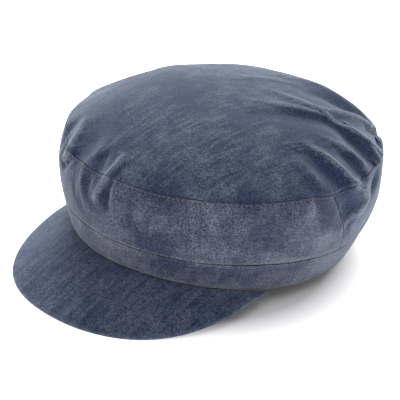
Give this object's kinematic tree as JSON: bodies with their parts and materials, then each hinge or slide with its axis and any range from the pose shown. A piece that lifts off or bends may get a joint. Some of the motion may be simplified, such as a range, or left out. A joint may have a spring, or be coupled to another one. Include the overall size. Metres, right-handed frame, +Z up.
{
  "type": "skipper cap",
  "caption": "Soft skipper cap in washed cotton canvas: a slack oval crown on a rounded side, a plain headband and a short sloping peak. Worn on the head.",
  "frame": {"origin": "middle of the cap's length and width, on the surface that the cap rests on", "axes": "-Y the way the peak points, +Y the back of the head, +X the wearer's left, +Z up"},
  "size_m": [0.2092, 0.2706, 0.1147],
  "materials": {
    "crown_canvas": "washed greyish navy cotton canvas, matt",
    "band_canvas": "washed greyish navy cotton canvas, matt",
    "peak_canvas": "washed greyish navy cotton canvas, matt"
  },
  "bodies": {
    "root": {"top_panel": "crown_canvas", "front_side_panel": "crown_canvas", "back_side_panel": "crown_canvas", "band": "band_canvas", "peak": "peak_canvas"}
  },
  "joints": []
}
